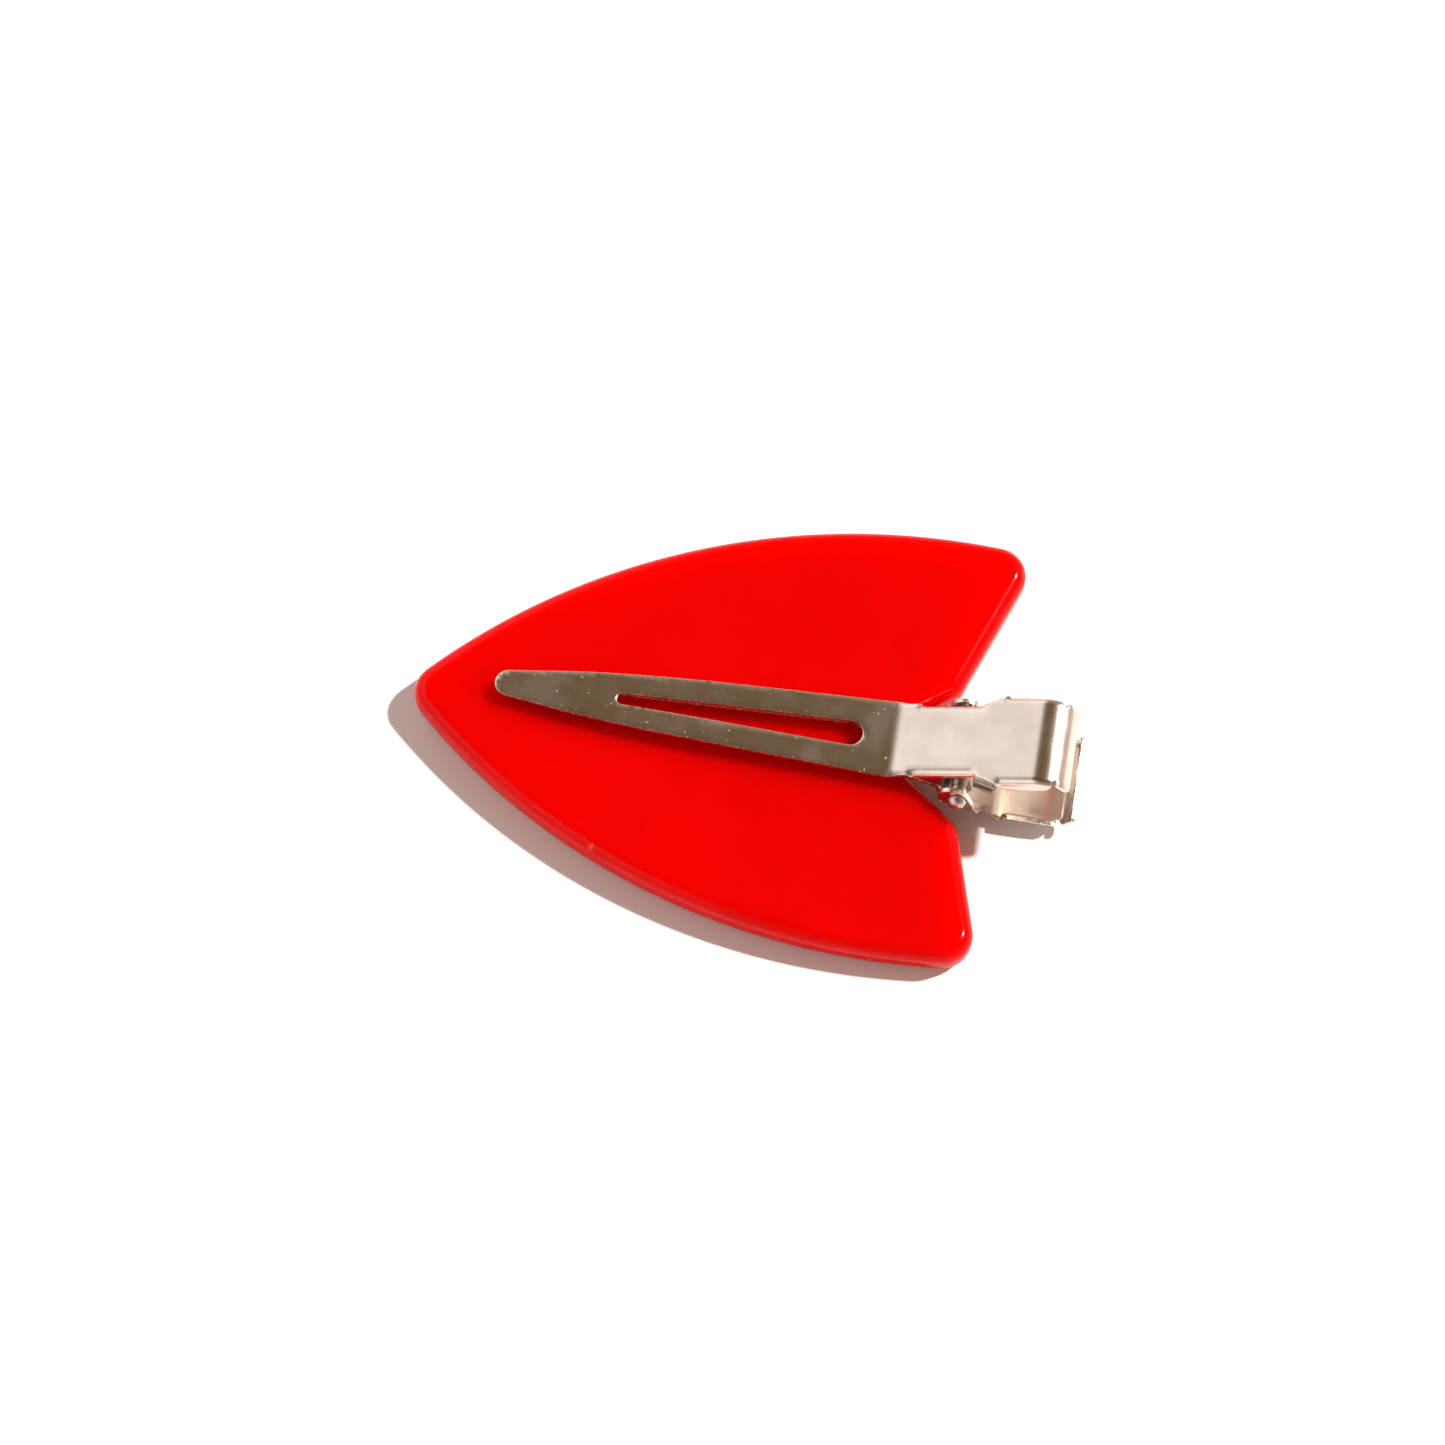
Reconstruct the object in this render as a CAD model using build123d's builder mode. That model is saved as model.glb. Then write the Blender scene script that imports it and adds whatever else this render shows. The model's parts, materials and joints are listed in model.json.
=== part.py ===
"""Sprung hair clip with a red petal-shaped plate, lying on the plate's front face.

X runs along the clip towards its finger levers, Z points out of the plate's back,
and the origin is on the plate's front face, half-way along the clip. Sizes are in mm.
"""

import math
import os

from build123d import *

# Overall layout along the clip
overall_length = 66.9
plate_tip_x = -overall_length / 2
jaw_tip_x = plate_tip_x + 8.2
pin_x = jaw_tip_x + 46.9
pin_z = 5.0

# Petal plate
plate_thickness = 4.0
plate_edge_radius = 1.2
plate_turn = 2.5
plate_tip_y = -0.95
long_side_radius = 67.7
short_side_radius = 70.0
plate_point_setback = 1.02
plate_tip_radius = 3.0
long_lobe = (60.7, 21.75)
short_lobe = (58.55, -22.6)
lobe_corner_radius = 3.0
notch_shoulder_long_side = (54.25, 5.85)
notch_shoulder_short_side = (55.15, -8.5)
notch_shoulder_radius = 2.0
notch_root = (45.75, -0.3)
notch_root_radius = 2.5

# Pressed sheet steel
sheet = 0.5
glue_thickness = 0.2
glue_setback = 0.15
glue_end_x = jaw_tip_x + 37.0
closed_gap = 0.15
cut_height = 16.0
lower_jaw_z = plate_thickness + glue_thickness
upper_jaw_z = lower_jaw_z + sheet + closed_gap

# Upper jaw: a slotted prong that turns up into a finger lever
prong_crown_x = jaw_tip_x + 21.0
prong_crown_lift = 0.35
prong_crown_radius = 300.0
upper_bend_x = jaw_tip_x + 39.8
upper_bend_lift = 0.2
upper_bend_radius = 4.0
upper_slope = 19.5
upper_end_x = jaw_tip_x + 57.2
upper_lip_turn = 68.0
upper_lip_radius = 2.8
upper_lip_length = 2.7
upper_lip_half = 4.45
upper_tip_radius = 1.35
tip_flat = 0.05
prong_taper_x = jaw_tip_x + 12.7
prong_taper_half = 2.9
upper_root_x = jaw_tip_x + 39.7
upper_root_half = 4.05
upper_waist_x = jaw_tip_x + 40.9
upper_narrow_half = 3.85
upper_wide_half = 4.75

# Lower jaw: a narrower prong glued to the plate, whose lever turns down into the notch
lower_tip_x = jaw_tip_x + 0.7
lower_tip_radius = 0.9
lower_inset = 0.75
lower_root_x = jaw_tip_x + 39.4
lower_bend_x = jaw_tip_x + 42.0
lower_bend_radius = 2.0
lower_slope = -20.4
lower_knee_x = jaw_tip_x + 50.6
lower_knee_radius = 3.0
lower_end_slope = -1.0
lower_end_x = overall_length / 2
lower_lip_turn = 75.0
lower_lip_radius = 1.0
lower_lip_length = 1.7
lower_lip_half = 4.65
lower_neck_half = 3.45
lower_narrow_half = 4.45
lower_wide_half = 4.95

# Both levers
upper_flare = (jaw_tip_x + 48.3, jaw_tip_x + 50.4)
lower_flare = (jaw_tip_x + 49.8, jaw_tip_x + 51.2)
upper_flange_start_x = jaw_tip_x + 50.8
lower_flange_start_x = jaw_tip_x + 51.6
upper_flange_length = 3.6
lower_flange_length = 4.6
flange_height = 1.2
flange_splay = 10.0

# Hinge
pin_radius = 0.75
running_clearance = 0.05
upper_ear_radius = 1.3
upper_ear_from_x = jaw_tip_x + 42.4
upper_ear_to_x = jaw_tip_x + 47.9
lower_ear_radius = 1.5
lower_ear_lean = -0.5
lower_ear_from_x = jaw_tip_x + 44.6
lower_ear_to_x = jaw_tip_x + 48.8
lower_ear_half = 5.1
lower_ear_step = 0.4
pin_head_radius = 0.88
pin_head_length = 0.95
pin_head_rounding = 0.4

# Return spring, wound on the pin between the upper ears
wire_radius = 0.25
coil_radius = 1.3
coil_pitch = 0.56
coil_full_turns = 6
spring_leg = 4.4
lower_leg_angle = lower_slope - 2.5
upper_leg_angle = upper_slope + 6.0

prong_slot = ((jaw_tip_x + 12.8, 0.6), (jaw_tip_x + 35.5, 1.3))
slot_setback = 0.15


def along(start, angle, distance):
    """The point at a distance from start, at an angle above +X, in the XZ plane."""
    turn = math.radians(angle)
    return (start[0] + distance * math.cos(turn), start[1] + distance * math.sin(turn))


def on_slope(start, angle, x):
    """The point at x on the line through start, at an angle above +X, in the XZ plane."""
    return (x, start[1] + (x - start[0]) * math.tan(math.radians(angle)))


def tapered_slot(grow):
    """Sketches the prong's slot: two round ends of different size and their tangents."""
    for x, radius in prong_slot:
        with Locations((x, 0)):
            Circle(radius + grow)
    make_hull()


def mirrored_outline(half_outline):
    """Sketches the face between a chain of (x, half width) points and its mirror image."""
    mirror_image = [(x, -y) for x, y in reversed(half_outline)]
    Polygon(*half_outline, *mirror_image, align=None)


def ear_profile(lever_from, lever_to, radius, lean=0.0):
    """Sketches an ear: the hull of a circle round the pin and a stretch of the lever."""
    middle = (pin_x + lean, pin_z)
    Polygon(lever_from, lever_to, middle, align=None)
    with Locations(middle):
        Circle(radius)
    make_hull()


def flange_profile(corner, slope, toward, length):
    """Sketches a stiffening flange: a strip below (-1) or above (+1) a sloping lever."""
    far_corner = along(corner, slope, length)
    Polygon(
        corner,
        far_corner,
        along(far_corner, slope + toward * (90 + flange_splay), flange_height),
        along(corner, slope + toward * (90 - flange_splay), flange_height),
        align=None,
    )


os.makedirs("parts", exist_ok=True)

# Petal plate: an arrowhead petal with a notch for the levers, rounded on every rim
plate_plane = Plane(
    origin=(plate_tip_x, plate_tip_y, 0),
    x_dir=(math.cos(math.radians(plate_turn)), math.sin(math.radians(plate_turn)), 0),
    z_dir=(0, 0, 1),
)
plate_point = (-plate_point_setback, 0)
plate_corners = (
    (plate_point, plate_tip_radius),
    (long_lobe, lobe_corner_radius),
    (notch_shoulder_long_side, notch_shoulder_radius),
    (notch_root, notch_root_radius),
    (notch_shoulder_short_side, notch_shoulder_radius),
    (short_lobe, lobe_corner_radius),
)
with BuildPart() as petal_plate:
    with BuildSketch(plate_plane) as outline:
        with BuildLine():
            RadiusArc(plate_point, long_lobe, long_side_radius)
            Polyline(
                long_lobe,
                notch_shoulder_long_side,
                notch_root,
                notch_shoulder_short_side,
                short_lobe,
            )
            RadiusArc(short_lobe, plate_point, short_side_radius)
        make_face()
        for place, radius in plate_corners:
            corner = outline.vertices().sort_by_distance((*place, 0))[0]
            fillet(corner, radius)
    extrude(amount=plate_thickness)
    rims = petal_plate.faces().filter_by(Axis.Z).edges()
    fillet(rims, plate_edge_radius)
petal_plate.part.label = "petal_plate"
export_step(petal_plate.part, "parts/petal_plate.step")


# Upper jaw: one pressed strip, cut to its outline and slot, with ears and side flanges
prong_tip = (jaw_tip_x, upper_jaw_z)
prong_crown = (prong_crown_x, upper_jaw_z + prong_crown_lift)
upper_bend = (upper_bend_x, upper_jaw_z + upper_bend_lift)
upper_lip_end_angle = upper_slope - upper_lip_turn
upper_lip_x = upper_end_x - upper_lip_length * math.cos(math.radians(upper_lip_end_angle))
upper_lip = on_slope(upper_bend, upper_slope, upper_lip_x)
upper_lip_end = along(upper_lip, upper_lip_end_angle, upper_lip_length)
upper_half_outline = (
    (jaw_tip_x, upper_tip_radius),
    (prong_taper_x, prong_taper_half),
    (upper_root_x, upper_root_half),
    (upper_waist_x, upper_narrow_half),
    (upper_flare[0], upper_narrow_half),
    (upper_flare[1], upper_wide_half),
    (upper_lip_x - upper_lip_radius / 2, upper_wide_half),
    (upper_lip_x, upper_lip_half),
    (overall_length / 2, upper_lip_half),
)
with BuildPart() as upper_jaw:
    with BuildSketch(Plane.XZ):
        with BuildLine():
            FilletPolyline(
                prong_tip,
                prong_crown,
                upper_bend,
                upper_lip,
                upper_lip_end,
                radius=(prong_crown_radius, upper_bend_radius, upper_lip_radius),
            )
            offset(amount=sheet, side=Side.LEFT)
        make_face()
    extrude(amount=upper_wide_half, both=True)
    with BuildSketch() as upper_outline:
        mirrored_outline(upper_half_outline)
        tip_corners = upper_outline.vertices().group_by(Axis.X)[0]
        fillet(tip_corners, upper_tip_radius - tip_flat)
    extrude(amount=cut_height, mode=Mode.INTERSECT)
    with BuildSketch():
        tapered_slot(0)
    extrude(amount=cut_height, mode=Mode.SUBTRACT)
    for side in (-1, 1):
        ear_plane = Plane.XZ.offset(side * (upper_narrow_half - sheet / 2))
        with BuildSketch(ear_plane):
            ear_profile(
                on_slope(upper_bend, upper_slope, upper_ear_from_x),
                on_slope(upper_bend, upper_slope, upper_ear_to_x),
                upper_ear_radius,
            )
        extrude(amount=sheet / 2, both=True)
        flange_plane = Plane.XZ.offset(side * (upper_wide_half - sheet / 2))
        with BuildSketch(flange_plane):
            corner = on_slope(upper_bend, upper_slope, upper_flange_start_x)
            flange_profile(corner, upper_slope, -1, upper_flange_length)
        extrude(amount=sheet / 2, both=True)
    with BuildSketch(Plane.XZ):
        with Locations((pin_x, pin_z)):
            Circle(pin_radius + running_clearance)
    extrude(amount=upper_wide_half, both=True, mode=Mode.SUBTRACT)
upper_jaw.part.label = "upper_jaw"
export_step(upper_jaw.part, "parts/upper_jaw.step")


# Lower jaw: the mirror-image strip, narrower under the prong, with its ears outside
lower_tip = (lower_tip_x, lower_jaw_z)
lower_bend = (lower_bend_x, lower_jaw_z)
lower_knee = on_slope(lower_bend, lower_slope, lower_knee_x)
lower_lip_end_angle = lower_end_slope + lower_lip_turn
lower_lip_x = lower_end_x - lower_lip_length * math.cos(math.radians(lower_lip_end_angle))
lower_lip = on_slope(lower_knee, lower_end_slope, lower_lip_x)
lower_lip_end = along(lower_lip, lower_lip_end_angle, lower_lip_length)
lower_half_outline = (
    (lower_tip_x, lower_tip_radius),
    (prong_taper_x, prong_taper_half - lower_inset),
    (lower_root_x, upper_root_half - lower_inset),
    (lower_ear_from_x - lower_ear_step, lower_neck_half),
    (lower_ear_from_x, lower_ear_half),
    (lower_ear_to_x, lower_ear_half),
    (lower_ear_to_x + lower_ear_step, lower_narrow_half),
    (lower_flare[0], lower_narrow_half),
    (lower_flare[1], lower_wide_half),
    (lower_lip_x - lower_lip_radius, lower_wide_half),
    (lower_lip_x, lower_lip_half),
    (overall_length / 2, lower_lip_half),
)
with BuildPart() as lower_jaw:
    with BuildSketch(Plane.XZ):
        with BuildLine():
            FilletPolyline(
                lower_tip,
                lower_bend,
                lower_knee,
                lower_lip,
                lower_lip_end,
                radius=(lower_bend_radius, lower_knee_radius, lower_lip_radius),
            )
            offset(amount=sheet, side=Side.LEFT)
        make_face()
    extrude(amount=lower_ear_half, both=True)
    with BuildSketch() as lower_outline:
        mirrored_outline(lower_half_outline)
        tip_corners = lower_outline.vertices().group_by(Axis.X)[0]
        fillet(tip_corners, lower_tip_radius - tip_flat)
    extrude(amount=cut_height, mode=Mode.INTERSECT)
    with BuildSketch():
        tapered_slot(slot_setback)
    extrude(amount=cut_height, mode=Mode.SUBTRACT)
    for side in (-1, 1):
        ear_plane = Plane.XZ.offset(side * (lower_ear_half - sheet / 2))
        with BuildSketch(ear_plane):
            ear_profile(
                on_slope(lower_bend, lower_slope, lower_ear_from_x),
                on_slope(lower_bend, lower_slope, lower_ear_to_x),
                lower_ear_radius,
                lower_ear_lean,
            )
        extrude(amount=sheet / 2, both=True)
        flange_plane = Plane.XZ.offset(side * (lower_wide_half - sheet / 2))
        with BuildSketch(flange_plane):
            corner = on_slope(lower_knee, lower_end_slope, lower_flange_start_x)
            flange_profile(corner, lower_end_slope, 1, lower_flange_length)
        extrude(amount=sheet / 2, both=True)
    with BuildSketch(Plane.XZ):
        with Locations((pin_x, pin_z)):
            Circle(pin_radius)
    extrude(amount=lower_ear_half, both=True, mode=Mode.SUBTRACT)
lower_jaw.part.label = "lower_jaw"
export_step(lower_jaw.part, "parts/lower_jaw.step")


# Glue bed: the thin film that holds the lower jaw's prong to the plate
glue_half_outline = (
    (lower_tip_x + glue_setback, lower_tip_radius - glue_setback),
    (prong_taper_x, prong_taper_half - lower_inset - glue_setback),
    (glue_end_x, upper_root_half - lower_inset - glue_setback),
)
with BuildPart() as glue_bed:
    with BuildSketch(Plane.XY.offset(plate_thickness)):
        mirrored_outline(glue_half_outline)
    extrude(amount=glue_thickness)
    with BuildSketch(Plane.XY.offset(plate_thickness)):
        tapered_slot(slot_setback + glue_setback)
    extrude(amount=glue_thickness, mode=Mode.SUBTRACT)
glue_bed.part.label = "glue_bed"
export_step(glue_bed.part, "parts/glue_bed.step")


# Hinge pin: a rivet through all four ears, with a head peened over at each end
with BuildPart() as hinge_pin:
    with BuildSketch(Plane.XZ):
        with Locations((pin_x, pin_z)):
            Circle(pin_radius)
    extrude(amount=lower_ear_half, both=True)
    for side in (-1, 1):
        with BuildSketch(Plane.XZ.offset(side * lower_ear_half)):
            with Locations((pin_x, pin_z)):
                Circle(pin_head_radius)
        extrude(amount=side * pin_head_length)
    rims = hinge_pin.edges().filter_by(GeomType.CIRCLE).group_by(Axis.Y)
    fillet(rims[0] + rims[-1], pin_head_rounding)
hinge_pin.part.label = "hinge_pin"
export_step(hinge_pin.part, "parts/hinge_pin.step")


# Return spring: a torsion coil round the pin, whose two legs run on along the levers
spring_turn = coil_full_turns * 360 + 180 - upper_leg_angle + lower_leg_angle
coil_length = coil_pitch * spring_turn / 360
coil_start_direction = along((0, 0), lower_leg_angle - 90, 1)
coil_plane = Plane(
    origin=(pin_x, -coil_length / 2, pin_z),
    x_dir=(coil_start_direction[0], 0, coil_start_direction[1]),
    z_dir=(0, 1, 0),
)
coil = coil_plane.from_local_coords(Edge.make_helix(coil_pitch, coil_length, coil_radius))
lower_leg = Edge.make_line(coil @ 0 - (coil % 0) * spring_leg, coil @ 0)
upper_leg = Edge.make_line(coil @ 1, coil @ 1 + (coil % 1) * spring_leg)
spring_path = Wire([lower_leg, coil, upper_leg])
with BuildPart() as return_spring:
    with BuildSketch(Plane(origin=spring_path @ 0, z_dir=spring_path % 0)):
        Circle(wire_radius)
    sweep(path=spring_path)
return_spring.part.label = "return_spring"
export_step(return_spring.part, "parts/return_spring.step")
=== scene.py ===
import json
import math
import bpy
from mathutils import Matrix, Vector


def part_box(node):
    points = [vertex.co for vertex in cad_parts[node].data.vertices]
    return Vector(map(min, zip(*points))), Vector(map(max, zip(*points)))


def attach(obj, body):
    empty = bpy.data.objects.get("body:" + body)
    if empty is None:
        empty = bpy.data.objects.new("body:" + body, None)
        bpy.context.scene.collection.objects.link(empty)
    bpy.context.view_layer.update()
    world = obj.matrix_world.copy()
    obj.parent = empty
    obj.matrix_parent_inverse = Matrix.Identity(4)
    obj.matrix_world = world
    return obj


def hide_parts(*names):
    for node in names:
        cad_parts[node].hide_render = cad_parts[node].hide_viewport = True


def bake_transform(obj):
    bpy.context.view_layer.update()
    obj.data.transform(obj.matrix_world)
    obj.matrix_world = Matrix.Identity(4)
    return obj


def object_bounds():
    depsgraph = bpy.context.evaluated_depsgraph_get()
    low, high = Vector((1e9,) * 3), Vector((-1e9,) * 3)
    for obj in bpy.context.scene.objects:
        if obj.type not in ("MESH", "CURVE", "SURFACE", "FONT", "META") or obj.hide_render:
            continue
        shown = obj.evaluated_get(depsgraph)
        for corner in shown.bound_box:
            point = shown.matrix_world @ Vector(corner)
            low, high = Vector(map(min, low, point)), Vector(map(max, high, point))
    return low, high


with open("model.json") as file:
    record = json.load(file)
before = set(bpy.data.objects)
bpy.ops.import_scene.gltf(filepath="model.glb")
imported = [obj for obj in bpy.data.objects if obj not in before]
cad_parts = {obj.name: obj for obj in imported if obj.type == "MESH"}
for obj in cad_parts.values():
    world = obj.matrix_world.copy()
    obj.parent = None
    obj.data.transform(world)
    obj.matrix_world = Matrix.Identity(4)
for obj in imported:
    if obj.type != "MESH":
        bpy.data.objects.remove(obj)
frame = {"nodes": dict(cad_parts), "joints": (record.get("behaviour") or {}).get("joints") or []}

from types import SimpleNamespace

import bmesh
import bpy
import numpy as np
from bpy.props import FloatProperty, FloatVectorProperty, IntProperty, PointerProperty
from bpy.types import NodeSocket, Operator, Panel, PropertyGroup
from mathutils import Vector, geometry, kdtree, noise

bl_info = {
    "name": "Petal hair clip",
    "version": (1, 0, 0),
    "blender": (4, 5, 0),
    "location": "3D View > Sidebar > Hair clip",
    "description": "Makes a sprung hair clip with a red petal plate around its packed frame",
    "category": "Object",
}

# Shapes below are worked out in millimetres and written to the meshes in metres.
MM = 0.001
CAD_BOX = [list(corner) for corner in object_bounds()]
BOX = {name: tuple(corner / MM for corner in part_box(name)) for name in frame["nodes"]}
PIN = Vector(frame["joints"][0]["pos_m"]) / MM
PLATE_TOP = BOX["petal_plate"][1].z
ROOM_FOR_GLUE = BOX["glue_bed"][1].z - BOX["glue_bed"][0].z
CLOSED_GAP = 0.15
# Places along the clip are measured from the upper jaw's tip.
TIP = BOX["upper_jaw"][0].x
QUARTER = math.pi / 2


# ---------------------------------------------------------------- flat shapes


def vectors(points):
    return [Vector(point) for point in points]


def polar(angle, length=1.0):
    """A flat vector at an angle."""
    return Vector((math.cos(angle), math.sin(angle))) * length


def turned(vector, angle):
    """A flat vector turned anticlockwise."""
    c, s = math.cos(angle), math.sin(angle)
    return Vector((c * vector.x - s * vector.y, s * vector.x + c * vector.y))


def turn_between(a, b):
    return math.atan2(a.cross(b), a.dot(b))


def ripple(*place):
    """Smooth noise at a place."""
    return noise.noise(Vector(place))


def rounded_line(points, radii, step=0.12):
    """Samples a line of straight runs with rounded corners, as (point, heading) pairs."""
    samples = []
    start = points[0]
    for corner, after, radius in zip(points[1:], points[2:], radii):
        before = (corner - start).normalized()
        beyond = (after - corner).normalized()
        turn = turn_between(before, beyond)
        side = math.copysign(1, turn)
        reach = radius * math.tan(abs(turn) / 2)
        samples += straight_run(start, corner - before * reach, step)
        centre = corner - before * reach + turned(before, QUARTER) * radius * side
        heading = math.atan2(before.y, before.x)
        count = max(3, int(abs(turn) * max(radius, 1.0) / step))
        for i in range(1, count):
            angle = heading + turn * i / count
            samples.append((centre + polar(angle - QUARTER, radius) * side, angle))
        start = corner + beyond * reach
    samples += straight_run(start, points[-1], step)
    return samples + [(points[-1], samples[-1][1])]


def straight_run(start, end, step):
    """Samples a straight run as (point, heading) pairs, without its last point."""
    along = end - start
    heading = math.atan2(along.y, along.x)
    count = max(1, round(along.length / step))
    return [(start + along * (i / count), heading) for i in range(count)]


def spread_evenly(loop, step):
    """The points of a closed loop again, at even spacing."""
    lengths = [(b - a).length for a, b in zip(loop, loop[1:] + loop[:1])]
    total = sum(lengths)
    count = max(8, round(total / step))
    out, done, i = [], 0.0, 0
    for k in range(count):
        target = total * k / count
        while done + lengths[i] < target:
            done += lengths[i]
            i += 1
        a, b = loop[i], loop[(i + 1) % len(loop)]
        out.append(a.lerp(b, (target - done) / max(lengths[i], 1e-9)))
    return out


def anticlockwise(loop):
    area = sum(a.cross(b) for a, b in zip(loop, loop[1:] + loop[:1]))
    return loop if area > 0 else loop[::-1]


def inset(loop, width):
    """An anticlockwise loop moved inwards by a width, or by a width at each point."""
    widths = width if isinstance(width, list) else [width] * len(loop)
    out = []
    for i, point in enumerate(loop):
        along = loop[(i + 1) % len(loop)] - loop[i - 1]
        out.append(point + turned(along, QUARTER).normalized() * widths[i])
    return out


def inside(points, loop):
    """Which of the points lie inside a loop."""
    points = np.array([tuple(p) for p in points]).reshape(-1, 2)
    result = np.zeros(len(points), bool)
    x, y = points[:, 0], points[:, 1]
    for a, b in zip(loop, loop[1:] + loop[:1]):
        if abs(a.y - b.y) < 1e-12:
            continue
        crosses = (a.y > y) != (b.y > y)
        result ^= crosses & (x < (b.x - a.x) * (y - a.y) / (b.y - a.y) + a.x)
    return result


def within(points, loops):
    """Which of the points lie inside the first loop and outside the others."""
    result = inside(points, loops[0])
    for hole in loops[1:]:
        result &= ~inside(points, hole)
    return result


def fill_flat(loops, inner_points, clearance):
    """Triangles over the first loop less the others: (points, triangles, loop indices)."""
    tree = kdtree.KDTree(sum(len(loop) for loop in loops))
    points, edges, members = [], [], []
    for loop in loops:
        first = len(points)
        members.append(range(first, first + len(loop)))
        for i, point in enumerate(loop):
            tree.insert((point.x, point.y, 0), first + i)
            points.append(point)
            edges.append((first + i, first + (i + 1) % len(loop)))
    tree.balance()
    for point, kept in zip(inner_points, within(inner_points, loops)):
        if kept and tree.find((point.x, point.y, 0))[2] > clearance:
            points.append(point)
    verts, _, faces, origins, _, _ = geometry.delaunay_2d_cdt(points, edges, [], 0, 1e-6)
    where = {source: i for i, sources in enumerate(origins) for source in sources}
    centres = [sum((verts[i] for i in face), Vector((0, 0))) / 3 for face in faces]
    faces = [tuple(face) for face, kept in zip(faces, within(centres, loops)) if kept]
    return verts, faces, [[where[i] for i in ring] for ring in members]


def mirrored(half):
    """A closed outline from its half at positive y, which starts and ends on the axis."""
    return half + [Vector((p.x, -p.y)) for p in reversed(half) if p.y > 1e-6]


def soften(points, times=2):
    """Rounds the corners of an open line a little, keeping its ends."""
    for _ in range(times):
        out = [points[0]]
        for a, b in zip(points, points[1:]):
            out += [a.lerp(b, 0.25), a.lerp(b, 0.75)]
        points = out + [points[-1]]
    return points


# ---------------------------------------------------------------- meshes


def mesh_object(name, bm, body, node, material, sharp_angle=math.radians(40)):
    """Turns a bmesh in millimetres into a piece of the clip."""
    bmesh.ops.remove_doubles(bm, verts=bm.verts, dist=1e-5)
    bmesh.ops.recalc_face_normals(bm, faces=bm.faces)
    bmesh.ops.scale(bm, verts=bm.verts, vec=(MM, MM, MM))
    mesh = bpy.data.meshes.new(name)
    bm.to_mesh(mesh)
    bm.free()
    for polygon in mesh.polygons:
        polygon.use_smooth = True
    if sharp_angle:
        mesh.set_sharp_from_angle(angle=sharp_angle)
    mesh.materials.append(material)
    piece = bpy.data.objects.new(name, mesh)
    bpy.context.scene.collection.objects.link(piece)
    if body:
        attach(piece, body)
    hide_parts(node)
    return piece


def new_verts(bm, points):
    return [bm.verts.new(point) for point in points]


def skins(bm, above, below, faces):
    """Makes a slab's two skins from their points, and gives their vertices."""
    above, below = new_verts(bm, above), new_verts(bm, below)
    for face in faces:
        bm.faces.new([above[i] for i in face])
        bm.faces.new([below[i] for i in reversed(face)])
    return above, below


def wall(bm, rings):
    """Faces between closed rings of equally many vertices, each ring to the next."""
    for a, b in zip(rings, rings[1:]):
        for i, _ in enumerate(a):
            j = (i + 1) % len(a)
            bm.faces.new((a[i], a[j], b[j], b[i]))


class Strip:
    """A strip of sheet metal: the line that its middle follows, and how its sides fold."""

    WAVE, WAVE_HEIGHT = 2.6, 0.006
    FULL_FLARE_DEPTH = 2.0

    def __init__(self, line, sheet, fold_radius, way, seed):
        self.sheet, self.fold_radius, self.way, self.seed = sheet, fold_radius, way, seed
        self.folds = []
        self.flare = (0.0, 1.0, 0.0)
        self.x = np.array([p.x for p, _ in line])
        self.z = np.array([p.y for p, _ in line])
        self.angle = np.array([a for _, a in line])
        runs = np.hypot(np.diff(self.x), np.diff(self.z))
        self.s = np.concatenate(([0.0], np.cumsum(runs)))
        self.length = float(self.s[-1])

    def along(self, x):
        """The distance along the strip at an x."""
        return float(np.interp(x, self.x, self.s))

    def middle(self, s):
        """The x, z and slope of the strip's middle, at a distance along."""
        return (float(np.interp(s, self.s, v)) for v in (self.x, self.z, self.angle))

    def fold_start(self, s):
        """The half width at which the sides start to turn, at a distance along."""
        start = 50.0
        for begin, end, half, ease, flat_half in self.folds:
            near = min((s - begin) / ease + 1, (end - s) / ease + 1)
            if near > 0:
                near = min(near, 1.0)
                near = near * near * (3 - 2 * near)
                start = min(start, flat_half + (half - flat_half) * near)
        return start

    def flat_y(self, half, depth):
        """The flat pattern's y of a point on a folded side, at a depth from the sheet."""
        return half + self.fold_radius * (QUARTER - 1) + depth

    def on_wall(self, x, z, s_ref, half):
        """Where a point beside the strip falls in the flat pattern."""
        x0, z0, angle = self.middle(s_ref)
        dx, dz = x - x0, z - z0
        along = dx * math.cos(angle) + dz * math.sin(angle)
        up = -dx * math.sin(angle) + dz * math.cos(angle)
        return Vector((s_ref + along, self.flat_y(half, up * self.way)))

    def place(self, s, y, lift):
        """The point in space of a point of the flat pattern, lifted off the middle."""
        x, z, angle = self.middle(s)
        lift += self.WAVE_HEIGHT * ripple(s / self.WAVE, y / self.WAVE, self.seed)
        start = self.fold_start(s)
        across, drop, turn = abs(y), 0.0, 0.0
        over = abs(y) - start
        if over > 0:
            turn = min(over / self.fold_radius, QUARTER)
            across = start + self.fold_radius * math.sin(turn)
            drop = over + self.fold_radius * (1 - math.cos(turn) - turn)
            begin, end, widen = self.flare
            share = min(max((s - begin) / (end - begin), 0.0), 1.0)
            across += widen * share * share * min(drop / self.FULL_FLARE_DEPTH, 1.0)
        across -= self.way * lift * math.sin(turn)
        height = self.way * drop + lift * math.cos(turn)
        return Vector(
            (
                x - height * math.sin(angle),
                math.copysign(across, y),
                z + height * math.cos(angle),
            )
        )

    def skin(self, points, lift):
        return [self.place(p.x, p.y, lift) for p in points]


EDGE_STEEPNESS = 0.45
OUTLINE_STEP, HOLE_STEP, STRIP_STEP, EDGE_CLEARANCE = 0.17, 0.14, 0.6, 0.11


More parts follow.
